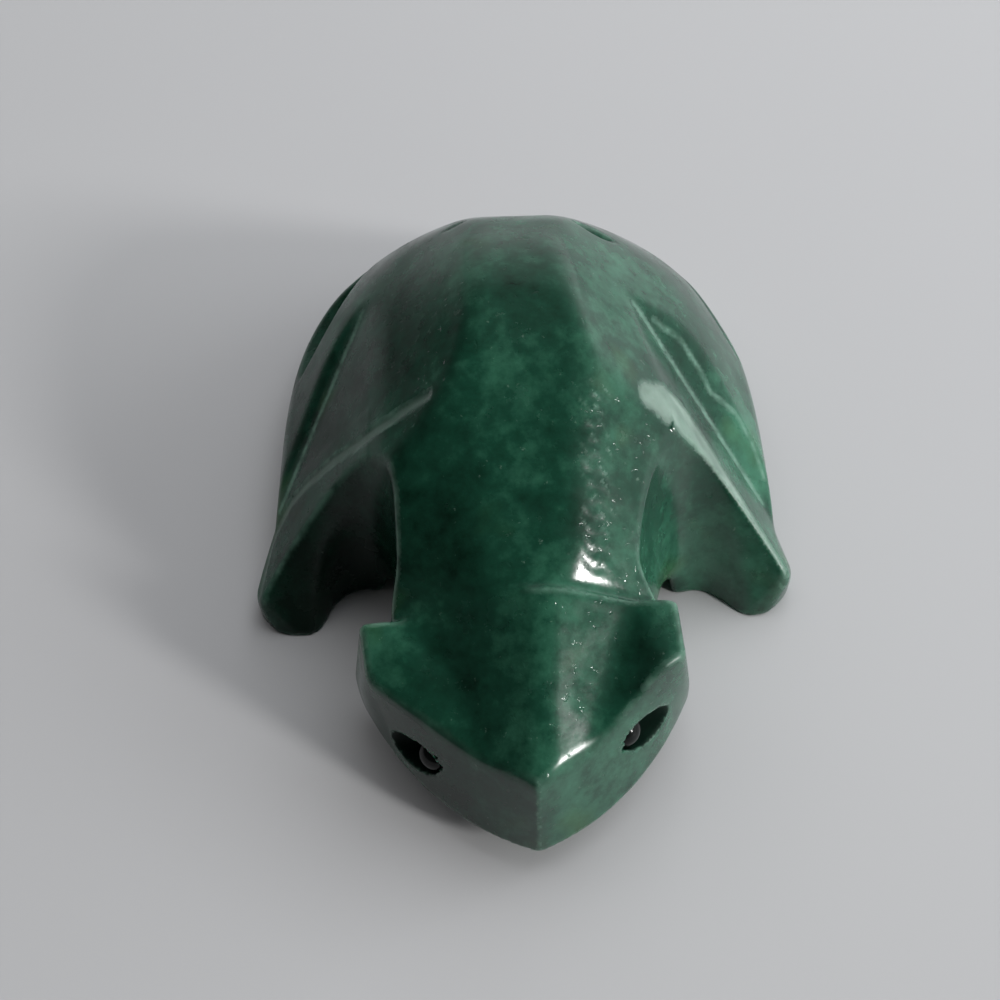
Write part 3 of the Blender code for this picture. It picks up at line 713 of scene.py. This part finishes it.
def greenStone():
    material, nodes, links = newMaterial("polished green stone")
    shader = nodes["Principled BSDF"]
    way = nodes.new("ShaderNodeTexCoord").outputs["Object"]
    look = stoneLook

    def noise(name):
        return noiseNode(nodes, links, way, *stoneNoise[name])

    def plus(total, share, amount):
        return mathNode(nodes, links, "ADD", total, mathNode(nodes, links, "MULTIPLY", share, amount))

    # clouds a few mm across, with finer mottling inside them
    mixed = mathNode(nodes, links, "MULTIPLY", noise("cloud"), 1-look["grainShare"])
    mixed = plus(mixed, noise("grain"), look["grainShare"])
    # painted light and shade, with some of the stone's own tone, lighten or darken the clouds
    mixed = plus(mixed, markNode(nodes, "painted_light_and_tone"), look["paintedLightAndToneShare"])
    stops = [(look[name+"At"], look[name]) for name in ("deep", "mid", "light")]
    colour = rampNode(nodes, links, mixed, stops)
    # a few yellower patches, and pale specks
    patch = rangeNode(nodes, links, noise("yellow"), 0.62, 0.76, 0.0, look["yellowShare"])
    colour = mixNode(nodes, links, patch, colour, look["yellow"])
    fleck = rangeNode(nodes, links, noise("speck"), 0.69, 0.80, 0.0, look["speckShare"])
    colour = mixNode(nodes, links, fleck, colour, look["speck"])
    # pale edges (some wear, with painted glints on ridges and along the thigh cuts), the satin bevels with
    # painted sheen, and the dark holes of the eyes
    ragged = rangeNode(nodes, links, noise("ragged"), 0.35, 0.60, 0.25, 1.0)
    wornAndGlint = mathNode(nodes, links, "MULTIPLY", markNode(nodes, "edge"), ragged)
    wornAndGlintShare = mathNode(nodes, links, "MULTIPLY", wornAndGlint, look["wornAndGlintShare"])
    colour = mixNode(nodes, links, wornAndGlintShare, colour, look["wornAndGlint"])
    # pale satin colour with painted sheen on the bevels
    streak = rangeNode(nodes, links, noise("streak"), 0.30, 0.70, 0.45, 0.90)
    mattAndSheen = mathNode(nodes, links, "MULTIPLY", markNode(nodes, "satinAndSheen"), streak)
    colour = mixNode(nodes, links, mattAndSheen, colour, look["satinAndSheen"])
    hole = mathNode(nodes, links, "MULTIPLY", markNode(nodes, "socket"), look["holeShare"])
    colour = mixNode(nodes, links, hole, colour, look["hole"])
    links.new(colour, shader.inputs["Base Color"])
    # polish: uneven gloss, duller on the bevels, edges and cut faces
    groove = markNode(nodes, "groove")
    dull = rangeNode(nodes, links, noise("gloss"), 0.35, 0.68, look["smooth"], look["rough"])
    dull = plus(dull, mattAndSheen, look["satinRough"])
    dull = plus(dull, wornAndGlint, look["wornRough"])
    dull = plus(dull, hole, look["holeRough"])
    dull = plus(dull, groove, look["grooveRough"])
    links.new(dull, shader.inputs["Roughness"])
    shine = plus(look["shine"], hole, -look["holeShine"])
    shine = plus(shine, groove, -look["grooveShine"])
    links.new(shine, shader.inputs["Specular IOR Level"])
    # pits and a slight ripple
    pits = rangeNode(nodes, links, noise("pits"), 0.64, 0.74, 0.0, -1.0)
    bump = nodes.new("ShaderNodeBump")
    bump.inputs["Strength"].default_value = 0.35
    bump.inputs["Distance"].default_value = 0.00006
    links.new(plus(pits, noise("ripple"), look["rippleHeight"]), bump.inputs["Height"])
    links.new(bump.outputs["Normal"], shader.inputs["Normal"])
    shader.inputs["IOR"].default_value = 1.54
    shader.inputs["Subsurface Weight"].default_value = 0.35
    shader.inputs["Subsurface Radius"].default_value = (0.6, 1.0, 0.75)
    shader.inputs["Subsurface Scale"].default_value = 0.0018
    return material


def blackInlay():
    material, nodes, links = newMaterial("black eye inlay")
    shader = nodes["Principled BSDF"]
    way = nodes.new("ShaderNodeTexCoord").outputs["Object"]
    look = inlayLook
    mottle = noiseNode(nodes, links, way, *look["mottle"])
    links.new(mixNode(nodes, links, mottle, look["dark"], look["light"]), shader.inputs["Base Color"])
    gloss = noiseNode(nodes, links, way, *look["gloss"])
    gloss = rangeNode(nodes, links, gloss, 0.3, 0.7, look["smooth"], look["rough"])
    links.new(gloss, shader.inputs["Roughness"])
    shader.inputs["Specular IOR Level"].default_value = look["shine"]
    return material


def paleTable():
    material, nodes, links = newMaterial("pale table")
    shader = nodes["Principled BSDF"]
    way = nodes.new("ShaderNodeTexCoord").outputs["Object"]
    look = tableLook
    cloud = rangeNode(nodes, links, noiseNode(nodes, links, way, *look["cloud"]), 0.25, 0.75)
    links.new(mixNode(nodes, links, cloud, look["dark"], look["light"]), shader.inputs["Base Color"])
    gloss = rangeNode(nodes, links, cloud, 0.0, 1.0, look["smooth"], look["rough"])
    links.new(gloss, shader.inputs["Roughness"])
    return material


# The frog
points, quads = makeFrogMesh()
boxLow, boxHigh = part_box("frog_body")
shift = (np.array(boxLow)+np.array(boxHigh))/2/mm-(points.min(0)+points.max(0))/2
shift[2] = 0
frog = meshObject("carved_frog", (points+shift)*mm, quads)
slope = slopeAt(points)
slope /= np.linalg.norm(slope, axis=1, keepdims=True)
# pale edges: partly wear, partly painted glints on ridges and along the thigh cuts
setMark(frog.data, "edge", np.maximum(edgeMark(points, slope), valleyGlintMark(points)))
# the bevels' pale satin colour with painted sheen
setMark(frog.data, "satinAndSheen", satinAndSheenMark(points, slope))
setMark(frog.data, "groove", grooveMark(points))
# painted light and shade, with some of the stone's own tone
setMark(frog.data, "painted_light_and_tone", paintedLightAndToneMark(points))
setMark(frog.data, "socket", socketMark(points))
frog.data.materials.append(greenStone())
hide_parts("frog_body")
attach(frog, "root")
report("frog, shift %s" % shift.round(3))


def eyeInlay(side):
    # a short round-fronted plug, turned about the socket's axis
    radius = eyes["radius"]-eyes["gap"]
    floor = eyes["floor"]+eyes["gap"]-eyes["domeX"]
    bevel = radius*eyes["bevel"]
    rows = [(floor, 0.0), (floor, radius-bevel), (floor+bevel, radius), (0.0, radius)]
    for i in range(1, eyes["domeSteps"]+1):
        angle = math.pi/2*i/eyes["domeSteps"]
        rows.append((radius*math.sin(angle), radius*math.cos(angle)))
    y, z = eyes["place"][side]
    around = eyes["around"]
    points, faces = [], []
    for along, radial in rows:
        for i in range(around):
            turn = 2*math.pi*i/around
            points.append((side*(eyes["domeX"]+along), y+radial*math.cos(turn), z+radial*math.sin(turn)))
    for row in range(len(rows)-1):
        for i in range(around):
            j = (i+1) % around
            ring = (row*around+i, row*around+j, (row+1)*around+j, (row+1)*around+i)
            faces.append(ring if side > 0 else ring[::-1])
    name = "eye_inlay_"+("right" if side > 0 else "left")
    piece = meshObject(name, (np.array(points)+shift)*mm, faces)
    piece.data.materials.append(inlayMaterial)
    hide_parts("eye_right" if side > 0 else "eye_left")
    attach(piece, "root")


inlayMaterial = blackInlay()
for side in (1, -1):
    eyeInlay(side)
report("eyes")

# Table, light and camera
half = tableLook["half"]
corners = [(-half, -half, 0), (half, -half, 0), (half, half, 0), (-half, half, 0)]
table = meshObject("table", corners, [(0, 1, 2, 3)], False)
table.data.materials.append(paleTable())

camera = dict(elevation=57.0, azimuth=0.0, roll=-1.5, distance=95.0, focal=1220.0, frame=1000,
              target=(-1.6, -1.0, 8.0))


def placeCamera():
    # focal is in pixels of the frame
    elevation, azimuth = math.radians(camera["elevation"]), math.radians(camera["azimuth"])
    back = Vector((math.sin(azimuth)*math.cos(elevation), -math.cos(azimuth)*math.cos(elevation),
                   math.sin(elevation)))
    right = (-back).cross(Vector((0, 0, 1))).normalized()
    up = right.cross(-back)
    roll = math.radians(camera["roll"])
    right, up = right*math.cos(roll)+up*math.sin(roll), up*math.cos(roll)-right*math.sin(roll)
    lens = bpy.data.cameras.new("camera")
    eye = bpy.data.objects.new("camera", lens)
    bpy.context.collection.objects.link(eye)
    target = (Vector(camera["target"])+Vector(shift))*mm
    turn = Matrix((right, up, back)).transposed().to_4x4()
    eye.matrix_world = Matrix.Translation(target+back*camera["distance"]*mm) @ turn
    lens.sensor_width = 36
    lens.lens = lens.sensor_width*camera["focal"]/camera["frame"]
    lens.clip_start = 0.002
    bpy.context.scene.camera = eye


# A dim ceiling over a lighter ring of walls, bright behind and to the right, dark to the left.
# Rise: brightness by height; ring: brightness from facing away from brightWay to facing it.
# The only light seen in the polish is the window; places and sizes are in metres.
room = dict(
    rise=((0.0, 1.0), (0.18, 0.92), (0.36, 0.62), (0.54, 0.36), (0.72, 0.20), (1.0, 0.12)),
    tint=(1, 1.01, 1.03), brightWay=(0.80, 0.60, 0),
    ring=((0.0, 0.05), (0.43, 0.06), (0.54, 0.20), (0.62, 0.50), (0.74, 0.75), (1.0, 1.05)),
    aim=(0, 0, 0.01),
    lights=dict(
        window=dict(place=(0.80, -0.42, 0.40), size=(0.10, 0.16), power=5.5,
                    colour=(1, 0.99, 0.97), seen=True),
        sideGlow=dict(place=(0.55, 0.05, 0.22), size=(0.5, 0.3), power=1.9,
                      colour=(0.97, 1, 1), seen=False),
        fill=dict(place=(-0.26, 0.22, 0.50), size=(0.5, 0.5), power=0.75,
                  colour=(1, 1, 1), seen=False),
        skylight=dict(place=(0.14, 0.20, 0.38), size=(0.4, 0.4), power=1.20,
                      colour=(0.96, 0.98, 1), seen=False),
    ),
)


def softLight(name, spot):
    data = bpy.data.lights.new(name, "AREA")
    data.shape = "RECTANGLE"
    data.size, data.size_y = spot["size"]
    data.energy = spot["power"]
    data.color = spot["colour"]
    light = bpy.data.objects.new(name, data)
    bpy.context.collection.objects.link(light)
    light.location = spot["place"]
    aim = Vector(room["aim"])-Vector(spot["place"])
    light.rotation_euler = aim.to_track_quat("-Z", "Y").to_euler()
    light.visible_glossy = spot["seen"]


def makeRoom():
    world = bpy.data.worlds.new("room")
    bpy.context.scene.world = world
    world.use_nodes = True
    nodes, links = world.node_tree.nodes, world.node_tree.links
    sky = nodes["Background"]
    way = nodes.new("ShaderNodeTexCoord").outputs["Generated"]
    split = nodes.new("ShaderNodeSeparateXYZ")
    links.new(way, split.inputs["Vector"])
    stops = [(at, [level*part for part in room["tint"]]) for at, level in room["rise"]]
    links.new(rampNode(nodes, links, split.outputs["Z"], stops), sky.inputs["Color"])
    turn = nodes.new("ShaderNodeVectorMath")
    turn.operation = "DOT_PRODUCT"
    turn.inputs[1].default_value = room["brightWay"]
    links.new(way, turn.inputs[0])
    stops = [(at, [level]*3) for at, level in room["ring"]]
    facing = rangeNode(nodes, links, turn.outputs["Value"], -1.0, 1.0)
    links.new(rampNode(nodes, links, facing, stops), sky.inputs["Strength"])
    for name, spot in room["lights"].items():
        softLight(name, spot)
    bpy.context.scene.view_settings.view_transform = "Standard"


placeCamera()
makeRoom()
report("table, light and camera")
